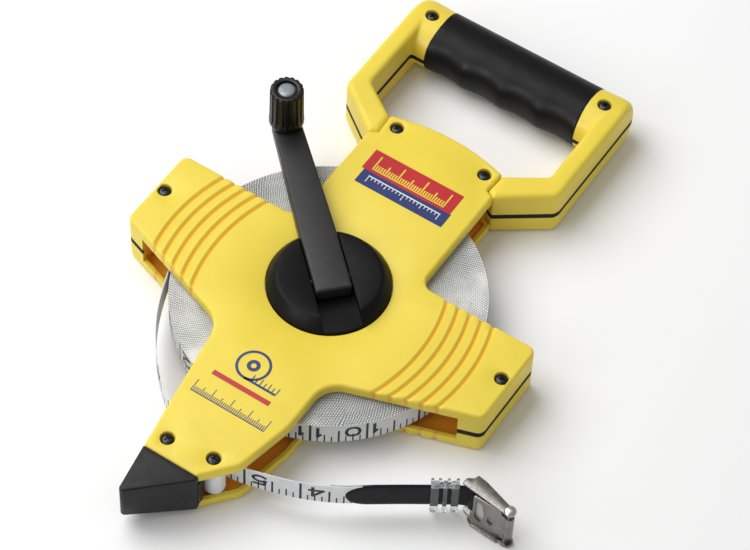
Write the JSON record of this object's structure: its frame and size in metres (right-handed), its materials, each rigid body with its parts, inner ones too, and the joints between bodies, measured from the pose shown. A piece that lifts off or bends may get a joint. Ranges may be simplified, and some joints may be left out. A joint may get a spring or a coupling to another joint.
{
  "type": "open-frame tape reel",
  "caption": "Open-frame hand reel for a long flat measuring tape, with a folding winding crank, a padded grip, a roller mouth and a folding end hook.",
  "frame": {"origin": "On the reel axis, on the flat back face of the frame, which is the face the reel lies on.", "axes": "+X across the two side arms, +Y along the body from the pointed tip towards the hand grip, +Z out of the front face, where the crank is."},
  "size_m": [0.2303, 0.3185, 0.0595],
  "materials": {
    "frame_yellow": "satin moulded",
    "seam_rubber": "matte",
    "tip_black": "satin moulded",
    "nylon_white": "smooth",
    "screw_black": "black oxide",
    "label_print": "printed film",
    "grip_rubber": "soft matte",
    "steel": "turned",
    "hub_black": "satin moulded",
    "brass": "turned",
    "tape_white": "coated glass-fibre tape",
    "crank_grey": "satin moulded",
    "knob_black": "half gloss, fluted",
    "sleeve_black": "coated cloth",
    "clip_clear": "clear moulded",
    "hook_nickel": "dark nickel plate"
  },
  "bodies": {
    "frame": {"front_frame": "frame_yellow", "back_frame": "frame_yellow", "left_seam_strip": "seam_rubber", "right_seam_strip": "seam_rubber", "mouth_tip": "tip_black", "frame_screws": "screw_black", "front_label": "label_print", "handle_front_shell": "frame_yellow", "handle_back_shell": "frame_yellow", "handle_seam_strip": "seam_rubber", "handle_grip": "grip_rubber", "handle_screws": "screw_black", "reel_axle": "steel", "axle_washer": "steel", "axle_screw": "steel", "rear_thrust_ring": "nylon_white", "front_thrust_ring": "nylon_white", "tape_lead": "tape_white", "tape_end": "tape_white", "end_sleeve": "sleeve_black", "crimp_collar": "clip_clear"},
    "reel": {"spool_drum": "hub_black", "drum_bush": "brass", "tape_anchor_pin": "steel", "tape_roll": "tape_white", "crank_hub": "hub_black", "hub_screws": "steel", "crank_hinge_pin": "steel"},
    "crank": {"crank_arm": "crank_grey", "knob_stud": "steel", "knob_collar": "hub_black"},
    "knob": {"crank_knob": "knob_black"},
    "roller": {"mouth_roller": "nylon_white"},
    "hook": {"hook_bracket": "hook_nickel", "tape_loop_pin": "steel", "hook_pin": "hook_nickel"},
    "claw": {"hook_claw": "hook_nickel"}
  },
  "joints": [
    {"name": "reel_spin", "type": "hinge", "parent": "frame", "child": "reel", "pos_m": [0, 0, 0.0135], "axis": [0, 0, 1], "continuous": true},
    {"name": "crank_fold", "type": "hinge", "parent": "reel", "child": "crank", "pos_m": [0.0011, -0.00102, 0.032], "axis": [0.6807, 0.7325, 0], "range_deg": [0, 180]},
    {"name": "knob_spin", "type": "hinge", "parent": "crank", "child": "knob", "pos_m": [-0.06498, 0.06038, 0.048], "axis": [0, 0, 1], "continuous": true},
    {"name": "roller_spin", "type": "hinge", "parent": "frame", "child": "roller", "pos_m": [0.0115, -0.106, 0.0135], "axis": [0, 0, 1], "continuous": true},
    {"name": "hook_swing", "type": "hinge", "parent": "frame", "child": "hook", "pos_m": [0.111, -0.0513, 0.0125], "axis": [0, 0, 1], "range_deg": [-30, 35]},
    {"name": "claw_fold", "type": "hinge", "parent": "hook", "child": "claw", "pos_m": [0.131, -0.0546, 0.0125], "axis": [0, 0, 1], "range_deg": [0, 100]}
  ],
  "couplings": [
    {"joint": "roller_spin", "follows": "reel_spin", "ratio": -14.235}
  ]
}
